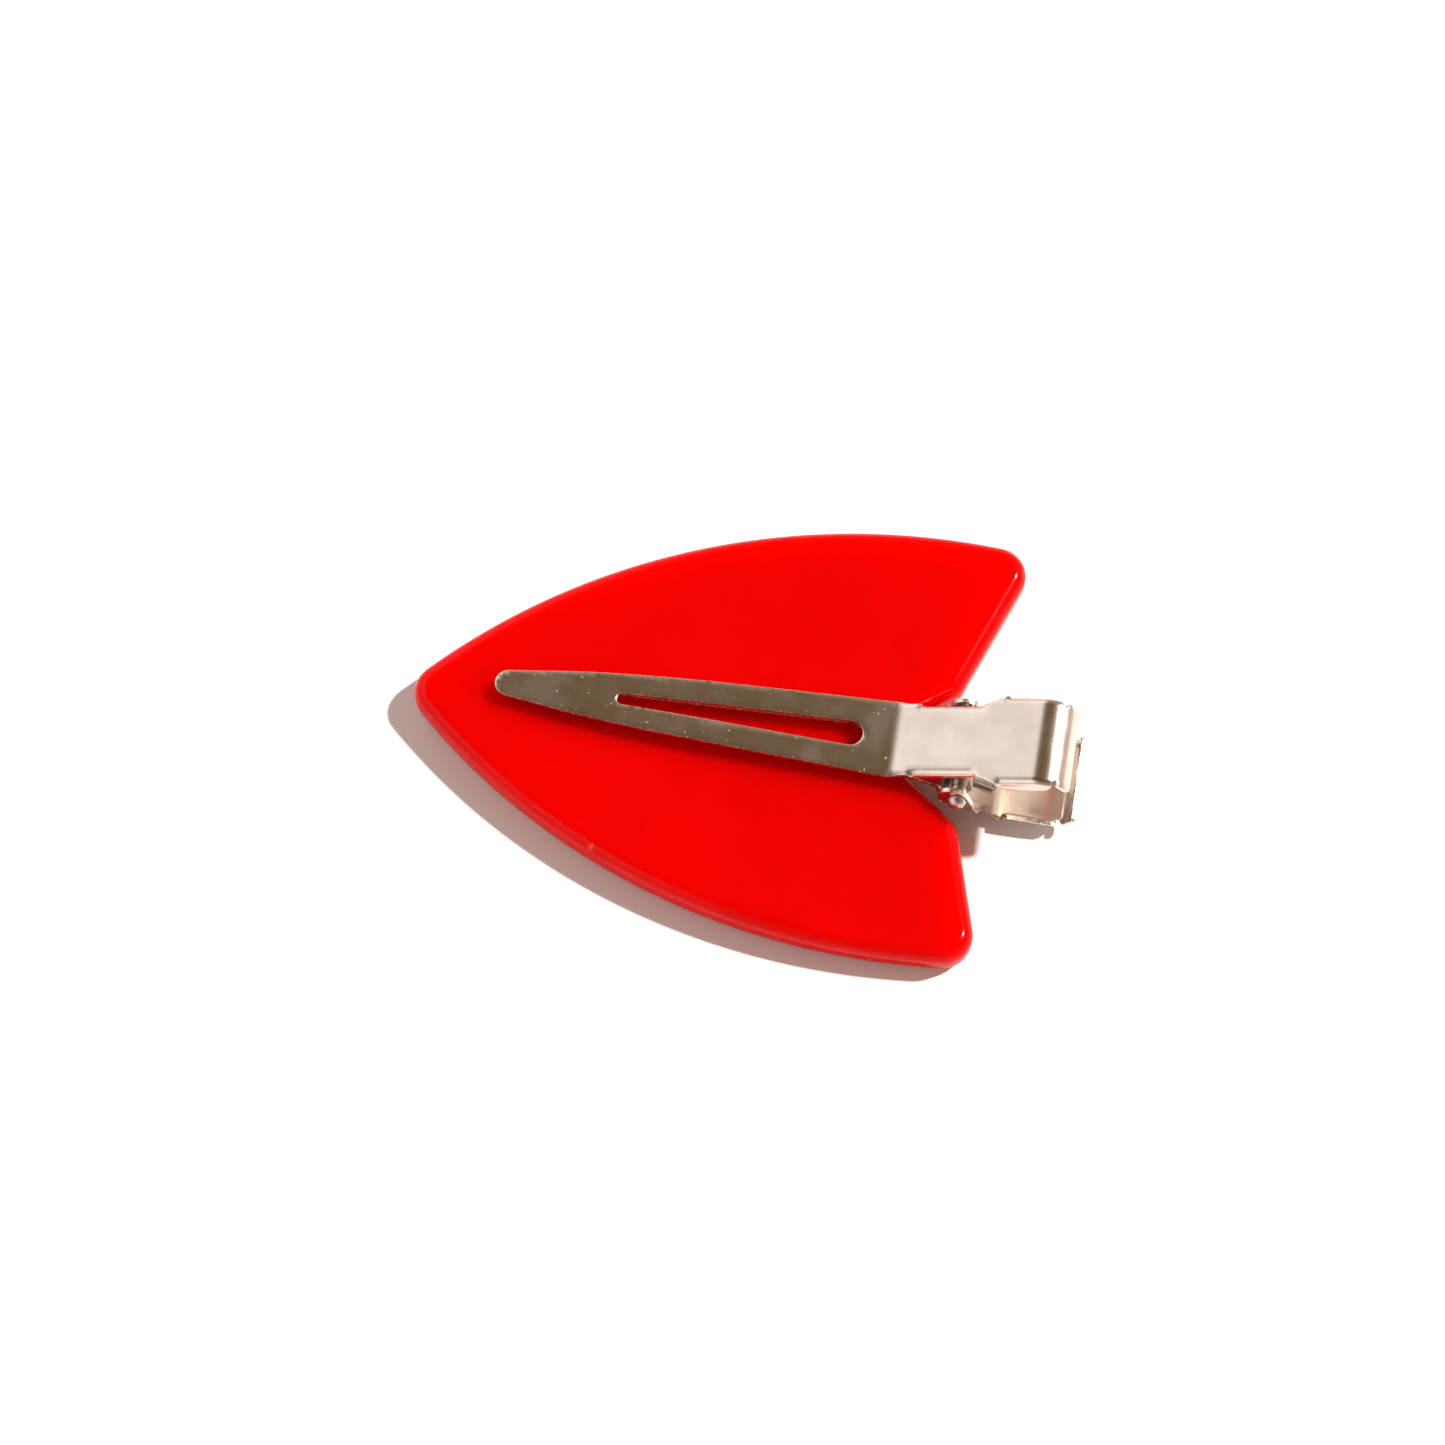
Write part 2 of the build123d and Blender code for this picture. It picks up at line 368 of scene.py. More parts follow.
def strip_grid(strip, top, fine):
    """Points over the flat pattern, closer at its folds and at the fine stretches."""
    grid = []
    s = 0.25
    while s < strip.length:
        start = min(strip.fold_start(s), top)
        rows = list(np.arange(0.0, start, 0.55))
        if start < top:
            rows += [start + strip.fold_radius * t for t in np.arange(0.0, 1.58, 0.26)]
            rows += list(np.arange(start + strip.fold_radius * 1.58 + 0.3, top, 0.4))
        for row in rows:
            grid += [Vector((s, row)), Vector((s, -row))][: 2 if row > 0 else 1]
        s += next((step for a, b, step in fine if a <= s < b), STRIP_STEP)
    return grid


def sheet_piece(strip, outline, holes, burr, fine):
    """Cuts the flat pattern, folds it and gives it its thickness."""
    steps = [OUTLINE_STEP] + [HOLE_STEP] * len(holes)
    loops = [
        anticlockwise(spread_evenly(loop, step)) for loop, step in zip([outline, *holes], steps)
    ]
    inner_loops = []
    for number, loop in enumerate(loops):
        width = burr if number == 0 else -burr
        roughs = [ripple(p.x * 2.3, p.y * 2.3, 7.0 + number) for p in loop]
        inner_loops.append(inset(loop, [width * (1 + 0.7 * rough) for rough in roughs]))
    grid = strip_grid(strip, max(p.y for p in loops[0]), fine)
    verts, faces, rings = fill_flat(inner_loops, grid, EDGE_CLEARANCE)
    bm = bmesh.new()
    half = strip.sheet / 2
    shoulder = half - burr * EDGE_STEEPNESS
    above, below = skins(bm, strip.skin(verts, half), strip.skin(verts, -half), faces)
    for loop, ring in zip(loops, rings):
        edge = [new_verts(bm, strip.skin(loop, lift)) for lift in (shoulder, -shoulder)]
        wall(bm, [[above[i] for i in ring], *edge, [below[i] for i in ring]])
    return bm


def tapered_hole(ends):
    """The loop round two circles of different size and their tangents."""
    (s0, r0), (s1, r1) = ends
    lean = math.asin((r1 - r0) / (s1 - s0))
    start = QUARTER + lean
    shares = [i / 24 for i in range(25)]
    loop = [Vector((s1, 0)) + polar(-start + 2 * start * share, r1) for share in shares]
    sweep = math.pi - 2 * lean
    return loop + [Vector((s0, 0)) + polar(start + sweep * share, r0) for share in shares]


def circle(centre, radius, count):
    angles = np.linspace(0, 2 * math.pi, count, endpoint=False)
    return [centre + polar(angle, radius) for angle in angles]


def ear_outline(s_from, s_to, base, centre, radius):
    """An ear's edge in the flat pattern, from its front to its back."""
    ends = vectors([(s_from, base), (s_to, base)])
    points = ends + circle(centre, radius, 48)
    hull = anticlockwise([points[i] for i in geometry.convex_hull_2d(points)])[::-1]
    first, last = (min(hull, key=lambda p: (p - end).length) for end in ends)
    start = hull.index(first)
    hull = hull[start:] + hull[:start]
    return hull[: hull.index(last) + 1]


# ---------------------------------------------------------------- shader groups


NODES_PER_ROW = 8


def feed(node, **values):
    """Gives a node's inputs, by name, a value or another node's result."""
    for label, value in values.items():
        connect(node, node.inputs[label.replace("_", " ")], value)


def connect(node, socket, value):
    if isinstance(value, NodeSocket):
        node.id_data.links.new(value, socket)
    else:
        socket.default_value = value


def put(tree, kind, **settings):
    """Adds a node: its own settings by attribute, its inputs by name."""
    node = tree.nodes.new(kind)
    row, column = divmod(len(tree.nodes) - 1, NODES_PER_ROW)
    node.location = (220 * column, -320 * row)
    for key, value in settings.items():
        if hasattr(node, key):
            setattr(node, key, value)
        else:
            feed(node, **{key: value})
    return node


def new_group(name, outputs, **inputs):
    """A shader group that takes a position and numbers: (tree, what it's given, results)."""
    tree = bpy.data.node_groups.new(name, "ShaderNodeTree")
    add = tree.interface.new_socket
    add(name="Position", in_out="INPUT", socket_type="NodeSocketVector")
    for label, value in inputs.items():
        label = label.replace("_", " ")
        add(name=label, in_out="INPUT", socket_type="NodeSocketFloat").default_value = value
    for label in outputs:
        add(name=label, in_out="OUTPUT", socket_type="NodeSocketFloat")
    return tree, put(tree, "NodeGroupInput").outputs, put(tree, "NodeGroupOutput")


def maths(tree, operation, *inputs, kind="ShaderNodeMath"):
    """The result of a maths node, whose inputs are sockets or values."""
    node = put(tree, kind, operation=operation)
    for socket, value in zip(node.inputs, inputs):
        connect(node, socket, value)
    return node.outputs[0]


def weighted_sum(tree, start, *terms):
    """A start value plus each (socket, weight)."""
    total = start
    for socket, weight in terms:
        total = maths(tree, "MULTIPLY_ADD", socket, weight, total)
    return total


def clouds(tree, position, scale, detail=2.0, output=0, **settings):
    """A noise texture's result at a position."""
    node = put(
        tree, "ShaderNodeTexNoise", Vector=position, Scale=scale, Detail=detail, **settings
    )
    return node.outputs[output]


def ramp(tree, value, low, high, out_low=0.0, out_high=1.0):
    """Maps a value smoothly from one range to another."""
    return put(
        tree, "ShaderNodeMapRange", interpolation_type="SMOOTHSTEP", Value=value,
        From_Min=low, From_Max=high, To_Min=out_low, To_Max=out_high,
    ).outputs[0]


def specks_group(name):
    """Specks: a mask of small uneven marks, in crowds."""
    tree, given, result = new_group(name, ["Mask"], Specks_per_metre=900.0, Share=0.3)
    position = given["Position"]
    uneven = clouds(tree, position, 4200.0, output="Color")
    shifted = maths(
        tree, "MULTIPLY_ADD", uneven, (0.0004,) * 3, position, kind="ShaderNodeVectorMath"
    )
    cells = put(tree, "ShaderNodeTexVoronoi", Vector=shifted, Scale=given["Specks per metre"])
    chances = put(tree, "ShaderNodeSeparateColor", Color=cells.outputs["Color"]).outputs
    size = weighted_sum(tree, 0.05, (chances[1], 0.22))
    dot = ramp(tree, maths(tree, "DIVIDE", cells.outputs["Distance"], size), 0.55, 1.0, 1.0, 0.0)
    filled = maths(tree, "LESS_THAN", chances[0], given["Share"])
    crowded = ramp(tree, clouds(tree, position, 330.0), 0.44, 0.6, 0.2)
    mask = maths(tree, "MULTIPLY", maths(tree, "MULTIPLY", dot, filled), crowded)
    feed(result, Mask=mask)
    return tree


def grain_group(name):
    """Rolling grain: fine lines along one way of the sheet, with slow cloudy change."""
    tree, given, result = new_group(
        name, ["Height", "Cloud"], Lines_per_metre=9000.0, Stretch=30.0
    )
    position = given["Position"]
    shrink = maths(tree, "DIVIDE", 1.0, given["Stretch"])
    squeeze = put(tree, "ShaderNodeCombineXYZ", X=shrink, Y=1.0, Z=1.0).outputs[0]
    stretched = maths(tree, "MULTIPLY", position, squeeze, kind="ShaderNodeVectorMath")
    lines = clouds(tree, stretched, given["Lines per metre"], 4.0, Roughness=0.6)
    feed(result, Height=lines, Cloud=clouds(tree, position, 260.0, 3.0))
    return tree


def scratches_group(name):
    """Fine scratches at two slants, in patches: a mask of thin broken lines."""
    tree, given, result = new_group(name, ["Mask"], Fineness=1400.0)
    position = given["Position"]
    masks = []
    for slant, seed in ((0.5, 3.0), (-1.1, 11.0)):
        spun = put(
            tree, "ShaderNodeVectorRotate", rotation_type="Z_AXIS", Angle=slant, Vector=position
        ).outputs[0]
        squashed = maths(
            tree, "MULTIPLY_ADD", spun, (0.13, 1.0, 1.0), (seed,) * 3, kind="ShaderNodeVectorMath"
        )
        streaks = clouds(tree, squashed, given["Fineness"], 1.0)
        masks.append(ramp(tree, streaks, 0.70, 0.78))
    patches = ramp(tree, clouds(tree, position, 420.0), 0.52, 0.66)
    feed(result, Mask=maths(tree, "MULTIPLY", maths(tree, "MAXIMUM", *masks), patches))
    return tree


def edge_rub_and_highlight_group(name):
    """Rubbed edges and painted highlight: a broken-up mask of the outward corners, which the steel
    paints paler as bare metal and as painted sparkle.
    """
    tree, given, result = new_group(name, ["Mask"], From=0.52, To=0.6)
    shape = put(tree, "ShaderNodeNewGeometry")
    reach = put(
        tree, "ShaderNodeMapRange", Value=shape.outputs["Pointiness"],
        From_Min=given["From"], From_Max=given["To"],
    ).outputs[0]
    gaps = ramp(tree, clouds(tree, given["Position"], 2600.0, 4.0), 0.42, 0.6)
    feed(result, Mask=maths(tree, "MULTIPLY", reach, gaps))
    return tree


GROUPS = {
    "Specks": specks_group,
    "Rolling grain": grain_group,
    "Scratches": scratches_group,
    "Worn and highlighted edges": edge_rub_and_highlight_group,
}


def use_group(tree, name, position, **values):
    """Puts a shared group in a material, with its own values, and gives its results."""
    group = bpy.data.node_groups.get(name) or GROUPS[name](name)
    return put(
        tree, "ShaderNodeGroup", node_tree=group, Position=position, **values
    ).outputs


def mix_colour(tree, mask, a, b):
    """Mixes two colours, each a socket or a plain colour, by a mask."""
    node = put(tree, "ShaderNodeMix", data_type="RGBA", Factor=mask)
    for socket, value in zip(node.inputs[6:8], (a, b)):
        connect(node, socket, value if isinstance(value, NodeSocket) else (*value, 1.0))
    return node.outputs[2]


def sky_ramp(tree, value, *stops):
    """A colour ramp from (position, colour) stops."""
    node = put(tree, "ShaderNodeValToRGB")
    connect(node, node.inputs[0], value)
    elements = node.color_ramp.elements
    for element, (where, tint) in zip(elements, (stops[0], stops[-1])):
        element.position, element.color = where, (*tint, 1)
    for where, tint in stops[1:-1]:
        elements.new(where).color = (*tint, 1)
    return node.outputs[0]


# ---------------------------------------------------------------- materials


def new_material(name):
    """A material with one Principled shader: (material, tree, shader, position)."""
    material = bpy.data.materials.new(name)
    material.use_nodes = True
    tree = material.node_tree
    tree.nodes.clear()
    shader = put(tree, "ShaderNodeBsdfPrincipled")
    put(tree, "ShaderNodeOutputMaterial", Surface=shader.outputs[0])
    return material, tree, shader, put(tree, "ShaderNodeTexCoord").outputs["Object"]


def shade(colour, factor):
    """A colour made darker or paler."""
    return tuple(min(1.0, c * factor) for c in colour)


def add_bump(tree, shader, height, strength, distance):
    bump = put(
        tree, "ShaderNodeBump", Strength=strength, Distance=distance, Height=height
    )
    feed(shader, Normal=bump.outputs[0])


def steel_material(name, colour, roughness, edge_rub_and_highlight, speck_share, grain_stretch=30.0):
    """Nickel-plated steel: rolling grain, specks in the plating, scratches, and pale edges that
    are partly bare metal and partly painted highlight.
    """
    material, tree, shader, position = new_material(name)
    grain = use_group(
        tree, "Rolling grain", position, Lines_per_metre=7000.0, Stretch=grain_stretch
    )
    specks = use_group(tree, "Specks", position, Specks_per_metre=2100.0, Share=speck_share)
    scratches = use_group(tree, "Scratches", position, Fineness=1500.0)
    edges = use_group(tree, "Worn and highlighted edges", position, From=0.53, To=0.62)
    clouded = ramp(tree, grain["Cloud"], 0.35, 0.65)
    faint = maths(tree, "MULTIPLY", scratches["Mask"], 0.2)
    marks = maths(tree, "MAXIMUM", specks["Mask"], faint)
    # Pale outward edges: partly rubbed-through plating, partly a painted highlight standing in for
    # sparkle along the cut edges.
    bare_and_highlit = maths(tree, "MULTIPLY", edges["Mask"], edge_rub_and_highlight)
    pale = shade(colour, 1.3)
    base = mix_colour(tree, clouded, tuple(colour), shade(colour, 0.94))
    base = mix_colour(tree, bare_and_highlit, mix_colour(tree, marks, base, pale), pale)
    rough = weighted_sum(tree, roughness, (clouded, 0.06), (marks, 0.25), (bare_and_highlit, 0.25))
    height = weighted_sum(tree, 0.0, (grain["Height"], 0.6), (marks, 0.5))
    feed(shader, Base_Color=base, Roughness=rough, Metallic=1.0)
    add_bump(tree, shader, height, 0.25, 0.00001)
    return material


def acetate_material(colour, glow_depth):
    """Polished red acetate: deep even colour, a little depth, fine dust and hairlines."""
    material, tree, shader, position = new_material("red_acetate")
    fade = ramp(tree, clouds(tree, position, 70.0, 3.0), 0.35, 0.65)
    base = mix_colour(tree, fade, tuple(colour), shade(colour, 0.93))
    dust = use_group(tree, "Specks", position, Specks_per_metre=310.0, Share=0.05)["Mask"]
    hairlines = use_group(tree, "Scratches", position, Fineness=420.0)["Mask"]
    base = mix_colour(tree, dust, base, (0.9, 0.22, 0.16))
    rough = weighted_sum(tree, 0.12, (hairlines, 0.16), (dust, 0.4))
    feed(
        shader, Base_Color=base, Roughness=rough, IOR=1.48, Specular_IOR_Level=0.12,
        Subsurface_Weight=1.0, Subsurface_Radius=(1.0, 0.06, 0.04), Subsurface_Scale=glow_depth,
    )
    add_bump(tree, shader, clouds(tree, position, 160.0), 0.2, 0.00004)
    return material


def glue_material():
    """Clear glue with a slight yellow cast, fine bubbles and a soft skin."""
    material, tree, shader, position = new_material("clear_glue")
    bubbles = use_group(tree, "Specks", position, Specks_per_metre=2400.0, Share=0.25)["Mask"]
    base = mix_colour(tree, bubbles, (0.93, 0.90, 0.78), (0.99, 0.98, 0.95))
    rough = weighted_sum(tree, 0.12, (bubbles, 0.3))
    feed(shader, Base_Color=base, Roughness=rough, Transmission_Weight=0.85, IOR=1.45)
    add_bump(tree, shader, bubbles, 0.3, 0.00003)
    return material


# ---------------------------------------------------------------- settings


def length(name, description, default):
    return FloatProperty(name=name, description=description, default=default, unit="LENGTH")


def turning(name, description, degrees):
    default = math.radians(degrees)
    return FloatProperty(name=name, description=description, default=default, subtype="ANGLE")


def tint(name, description, default):
    return FloatVectorProperty(
        name=name, description=description, default=default, subtype="COLOR", min=0, max=1
    )


class PlateSettings(PropertyGroup):
    """Sizes and finish of the petal plate."""

    rim_radius: length("Rim rounding", "Radius of the polished rims", 0.0015)
    turn: turning("Turn", "How far the plate is turned under the jaws", 2.5)
    colour: tint("Colour", "Colour of the acetate", (0.60, 0.0003, 0.0002))
    glow_depth: length("Glow depth", "How far red light travels inside the plate", 0.009)


class JawSettings(PropertyGroup):
    """Sizes and finish of the two pressed jaws."""

    sheet: length("Sheet", "Thickness of the steel", 0.0005)
    fold_radius: length("Fold radius", "Radius of the side folds, at mid sheet", 0.0005)
    burr: length("Burr", "Width of the bright line along the cut edges", 0.00011)
    colour: tint("Colour", "Colour of the plating", (0.73, 0.65, 0.575))
    roughness: FloatProperty(
        name="Roughness", description="Roughness of the clean plating", default=0.2,
        min=0, max=1, subtype="FACTOR",
    )


class SpringSettings(PropertyGroup):
    """Sizes of the return spring and its pin."""

    wire: length("Wire", "Diameter of the spring wire", 0.0005)
    coil: length("Coil", "Diameter of the coil, at mid wire", 0.0026)
    turns: IntProperty(name="Full turns", description="Whole turns in the coil", default=6)
    leg: length("Leg", "Length of each leg along its lever", 0.0044)
    pin: length("Pin", "Diameter of the hinge pin", 0.0015)


class StageSettings(PropertyGroup):
    """Light, floor and camera."""

    sun_strength: FloatProperty(name="Sun", description="Strength of the sun", default=5.4)
    sun_width: turning("Sun width", "Width of the sun's disc, which softens shadows", 3.4)
    sun_height: turning("Sun height", "Height of the sun above the floor", 45)
    sun_bearing: turning("Sun bearing", "Direction of the sun, from +X towards +Y", 29)
    sky_strength: FloatProperty(name="Sky", description="Strength of the soft light", default=1.0)
    camera_height: turning("Camera height", "Height of the camera above the floor", 66)
    camera_bearing: turning("Camera bearing", "Direction of the camera, from -Y to +X", 9.31)
    camera_distance: length("Camera distance", "Distance from the camera to its aim", 0.40975)
    view_angle: turning("View angle", "Angle that the camera takes in", 20)
    floor_colour: tint("Floor", "Colour of the floor", (0.86, 0.85, 0.85))


# ---------------------------------------------------------------- petal plate


# The plate's corners, clockwise from its point, with the bulge of the side that
# follows each and the rounding between that side and the next.
PLATE_CORNERS = (
    ((-1.02, 0.0), 67.7, 3.0),
    ((60.7, 21.75), None, 2.0),
    ((54.25, 5.85), None, -2.5),
    ((45.75, -0.3), None, 2.0),
    ((55.15, -8.5), None, 3.0),
    ((58.55, -22.6), 70.0, 3.0),
)
PLATE_POINT_Y = -0.95
PLATE_SAG, PLATE_SAG_SPREAD = 0.03, 14
SIDE_STEP, CORNER_STEP, PLATE_GRID = 0.9, 0.35, 1.5


class PlateSide:
    """One side of the plate's outline: a straight line, or an arc bulging outwards."""

    def __init__(self, start, end, radius=None):
        self.start, self.end, self.radius = Vector(start), Vector(end), radius
        if radius:
            middle = (self.start + self.end) / 2
            chord = self.end - self.start
            rise = math.sqrt(radius**2 - chord.length_squared / 4)
            self.centre = middle + turned(chord.normalized(), -QUARTER) * rise
            first, last = self.start - self.centre, self.end - self.centre
            self.angle = math.atan2(first.y, first.x)
            self.sweep = -math.acos(first.normalized().dot(last.normalized()))

    def point(self, t):
        if not self.radius:
            return self.start.lerp(self.end, t)
        return self.centre + polar(self.angle + self.sweep * t, self.radius)

    def offset(self, t, distance):
        """The point moved into the plate."""
        if self.radius:
            way = (self.centre - self.point(t)).normalized()
        else:
            way = turned((self.end - self.start).normalized(), -QUARTER)
        return self.point(t) + way * distance


def blend_corner(before, after, radius):
    """The rounding between two sides: (end on the first, start on the second, centre)."""

    def gap(t, u):
        return before.offset(t, radius) - after.offset(u, radius)

    t, u, h = 0.9, 0.1, 1e-5
    for _ in range(30):
        miss = gap(t, u)
        dt = (gap(t + h, u) - miss) / h
        du = (gap(t, u + h) - miss) / h
        scale = dt.cross(du)
        t -= miss.cross(du) / scale
        u -= dt.cross(miss) / scale
    return t, u, before.offset(t, radius)


def plate_outline(turn):
    """The plate's outline, clockwise from its point, in the clip's own axes."""
    points, bulges, radii = zip(*PLATE_CORNERS)
    sides = [
        PlateSide(start, end, bulge)
        for start, end, bulge in zip(points, points[1:] + points[:1], bulges)
    ]
    following = sides[1:] + sides[:1]
    blends = [blend_corner(*sides_and_radius) for sides_and_radius in zip(sides, following, radii)]
    loop = []
    for i, (side, after) in enumerate(zip(sides, following)):
        begin = blends[i - 1][1]
        end, after_begin, centre = blends[i]
        chord = (side.point(end) - side.point(begin)).length
        count = max(3, int(chord / SIDE_STEP))
        loop += [side.point(begin + (end - begin) * k / count) for k in range(count)]
        first = side.point(end) - centre
        sweep = turn_between(first, after.point(after_begin) - centre)
        count = max(4, int(abs(sweep) * abs(radii[i]) / CORNER_STEP))
        loop += [centre + turned(first, sweep * k / count) for k in range(count)]
    low = BOX["petal_plate"][0].x
    loop = [Vector((low, PLATE_POINT_Y)) + turned(p, turn) for p in loop]
    shift = low - min(p.x for p in loop)
    return [p + Vector((shift, 0)) for p in loop]


class HAIRCLIP_OT_petal_plate(Operator):
    """Makes the red petal plate"""

    bl_idname = "hairclip.petal_plate"
    bl_label = "Petal plate"

    def execute(self, context):
        settings = context.scene.hairclip_plate
        radius = settings.rim_radius / MM
        loop = plate_outline(settings.turn)[::-1]
        low, high = BOX["petal_plate"]
        bottom, top = low.z, PLATE_TOP
        profile = []
        steps = 7
        for i in range(steps + 1):
            angle = QUARTER * (1 - i / steps)
            rounding = radius * (1 - math.cos(angle)), radius * (1 - math.sin(angle))
            profile.append((rounding[0], top - rounding[1]))
        mirror = [(width, bottom + top - z) for width, z in reversed(profile)]
        straight = top - bottom - 2 * radius
        profile += [(0.0, bottom + radius + straight * level) for level in (0.66, 0.33)]
        profile += mirror
        grid = []
        for i in range(int((high.x - low.x) / PLATE_GRID)):
            for k in range(int((high.y - low.y) / PLATE_GRID)):
                stagger = PLATE_GRID / 2 if i % 2 else 0.0
                x, y = low.x + PLATE_GRID * i, low.y + stagger + PLATE_GRID * k
                grid.append(Vector((x, y)))
        verts, faces, (ring,) = fill_flat([inset(loop, radius)], grid, 0.6)

        def lifted(points, z):
            """Points at a height, sagging a little in the plate's upper half."""
            spread = PLATE_SAG_SPREAD
            sag = PLATE_SAG if z > (top + bottom) / 2 else 0.0
            return [
                (p.x, p.y, z - abs(sag * ripple(p.x / spread, p.y / spread, 1.0))) for p in points
            ]

        bm = bmesh.new()
        above, below = skins(bm, lifted(verts, top), lifted(verts, bottom), faces)
        rings = [new_verts(bm, lifted(inset(loop, width), z)) for width, z in profile[1:-1]]
        wall(bm, [[above[i] for i in ring], *rings, [below[i] for i in ring]])
        material = acetate_material(settings.colour, settings.glow_depth)
        mesh_object(
            "petal_plate_acetate", bm, "plate_side", "petal_plate", material, None
        )
        return {"FINISHED"}


# ---------------------------------------------------------------- jaws


# The round ends of the prongs' slot, as (place, radius).
SLOT = ((12.8, 0.6), (35.5, 1.3))
FLANGE_DEPTH, FLANGE_EASE, LIP_CORNER, EAR_STEP = 1.2, 0.5, 0.9, 0.3

# Each jaw's sizes. Its corners are (place, height) along its middle, its edges are
# (place, half width), and the edges beside its ears are counted from the ears' ends.
UPPER = SimpleNamespace(
    corners=((21.0, 0.35), (39.8, 0.2)), radii=(300, 4.0, 2.8), way=-1, seed=1.0,
    slope=math.radians(19.5), lip_turn=math.radians(-68), lip_length=2.7, lip_half=4.45,
    lip_overhang=math.sin(math.radians(48.5)), tip_radius=1.35, tip_points=12,
    prong=((12.7, 2.9), (39.7, 4.05)), neck=((40.1, 4.02), (40.9, 3.85)),
    ear_front=((-0.3, 3.85),), ear_back=((0.35, 3.85),), waist=((48.5, 3.85), (50.3, 4.75)),
    ears=3.85, ear_ends=(42.4, 47.9), ear_radius=1.3, ear_shift=0.0, ear_ease=0.9,
    ear_margin=0.0, flare=0.0, flat_room=0.0, wide=4.75, flange_from=50.7,
    flange_stop=0.1, flange_lead=0.25, slot_room=0.0, pin_hole=0.8,
    creases=((39.8, 1.0, 0.15), (50.7, 0.5, 0.15)), lip_crease=(2.3, 2.0, 0.13),
)
LOWER_SLOPE = math.radians(-20.4)
LOWER = SimpleNamespace(
    corners=((42.0, 0.0), (50.6, 8.6 * math.tan(LOWER_SLOPE))), radii=(2.0, 3.0, 1.0),
    way=1, seed=5.0,
    slope=math.radians(-1.0), lip_turn=math.radians(62), lip_length=1.7, lip_half=4.65,
    lip_overhang=1.0, tip_radius=0.9, tip_points=10,
    prong=((12.7, 2.15), (39.4, 3.3)), neck=((39.8, 3.4),),
    ear_front=((-0.8, 3.4), (-0.5, 3.6), (-0.15, 5.1)), ear_back=((0.2, 5.1), (0.6, 4.45)),
    waist=((49.8, 4.45), (51.1, 4.95)),
    ears=5.1, ear_ends=(45.3, 48.8), ear_radius=1.5, ear_shift=0.5, ear_ease=0.7,
    ear_margin=0.1, flare=0.5, flat_room=0.1, wide=4.95, flange_from=51.6,
    flange_stop=-0.8, flange_lead=0.3, slot_room=0.15, pin_hole=0.76,
    creases=((42.0, 0.6, 0.12), (50.6, 0.8, 0.15)), lip_crease=(0.9, 1.0, 0.11),
)


def jaw_line(shape, low, high, base, sheet):
    """The line that a jaw's middle follows, and the x of its lip's corner."""
    corners = vectors([(low.x, base)] + [(TIP + x, base + z) for x, z in shape.corners])
    lip = polar(shape.slope + shape.lip_turn, shape.lip_length)
    lip_x = high.x - lip.x - sheet / 2 * shape.lip_overhang
    rise = (lip_x - corners[-1].x) * math.tan(shape.slope)
    corner = Vector((lip_x, corners[-1].y + rise))
    return rounded_line([*corners, corner, corner + lip], shape.radii), lip_x


def lever_outline(shape, begin, finish, inner, depth, end):
    """The edge of a lever's flange and lip in the flat pattern, back to the axis."""
    wide, lip = shape.wide, shape.lip_half
    flange = [
        (begin + 0.1, wide + 0.2), (begin + shape.flange_lead, depth),
        (finish - 0.25, depth), (finish, wide + 0.1), (finish + 0.1, inner),
        (finish + 0.35, inner - 0.1),
    ]
    lip_edge = [
        (finish + 0.5, lip - 0.1), (finish + 0.9, lip), (end - LIP_CORNER, lip),
        (end, lip), (end, lip - LIP_CORNER),
    ]
    return soften(vectors(flange), 1) + soften(vectors(lip_edge)) + [Vector((end, 0.0))]


